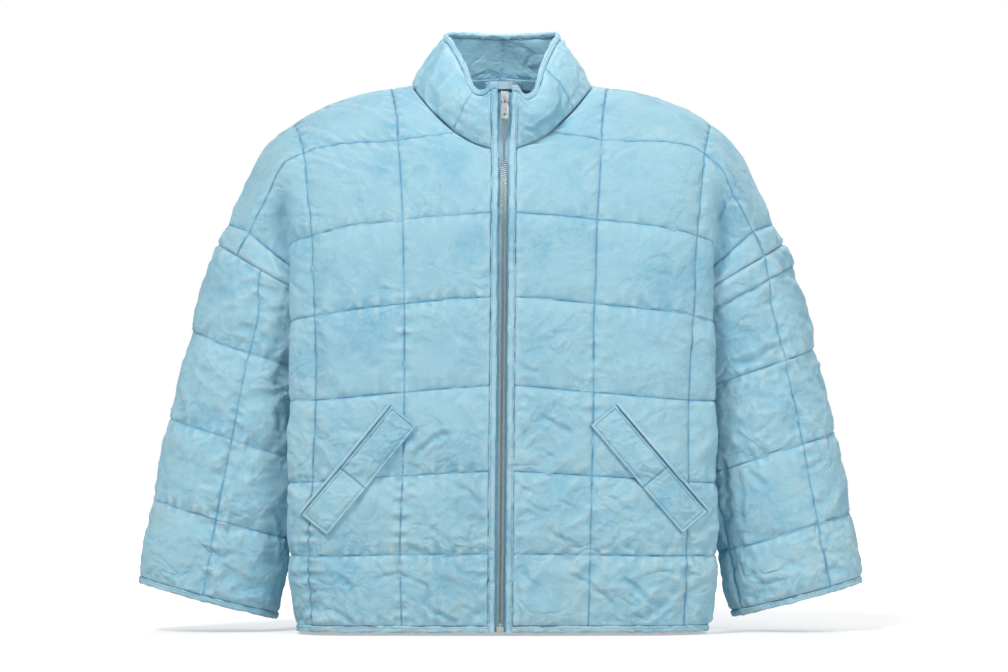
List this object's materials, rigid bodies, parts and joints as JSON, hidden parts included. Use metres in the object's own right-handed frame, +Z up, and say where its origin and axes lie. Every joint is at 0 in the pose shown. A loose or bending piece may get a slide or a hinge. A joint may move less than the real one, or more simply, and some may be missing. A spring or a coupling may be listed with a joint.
{
  "type": "quilted jacket",
  "caption": "Boxy quilted cotton jacket with a stand collar, dropped sleeves, slanted welt pockets and a metal zip, closed and filled out as when worn, hollow inside.",
  "frame": {"origin": "midway between the two points where the shoulder seams meet the collar, where the wearer's neck and shoulders carry the jacket", "axes": "+Z up, the front faces -Y, +X to the wearer's left"},
  "size_m": [0.8407, 0.2696, 0.6953],
  "materials": {
    "quilted_cotton": "washed woven cotton over wadding, matt, pale sky blue, mottled, darker in the stitch lines",
    "binding_cotton": "folded cotton strip, matt, paler from wear along its edges",
    "zip_tape": "woven cotton tape, matt, blue",
    "zip_teeth": "aged grey metal teeth",
    "zip_slider": "plated silver metal, lightly worn"
  },
  "bodies": {
    "jacket": {"front_right": "quilted_cotton", "front_left": "quilted_cotton", "back": "quilted_cotton", "sleeve_right": "quilted_cotton", "sleeve_left": "quilted_cotton", "collar": "quilted_cotton", "pocket_welt_right": "quilted_cotton", "pocket_welt_left": "quilted_cotton", "hem_binding_right": "binding_cotton", "hem_binding_left": "binding_cotton", "hem_binding_back": "binding_cotton", "cuff_binding_right": "binding_cotton", "cuff_binding_left": "binding_cotton", "front_binding_right": "binding_cotton", "front_binding_left": "binding_cotton", "collar_binding": "binding_cotton", "pocket_lip_right": "binding_cotton", "pocket_lip_left": "binding_cotton", "hanger_loop": "binding_cotton", "neck_tape": "zip_tape", "zip_tape_right": "zip_tape", "zip_tape_left": "zip_tape", "zip_chain": "zip_teeth", "zip_box": "zip_teeth", "zip_slider": "zip_slider"},
    "zip_pull": {"zip_pull": "zip_slider"}
  },
  "joints": [
    {"name": "pull_swing", "type": "hinge", "parent": "jacket", "child": "zip_pull", "pos_m": [0.00254, -0.09413, -0.01117], "axis": [-1, 0, 0], "range_deg": [0, 165]}
  ]
}
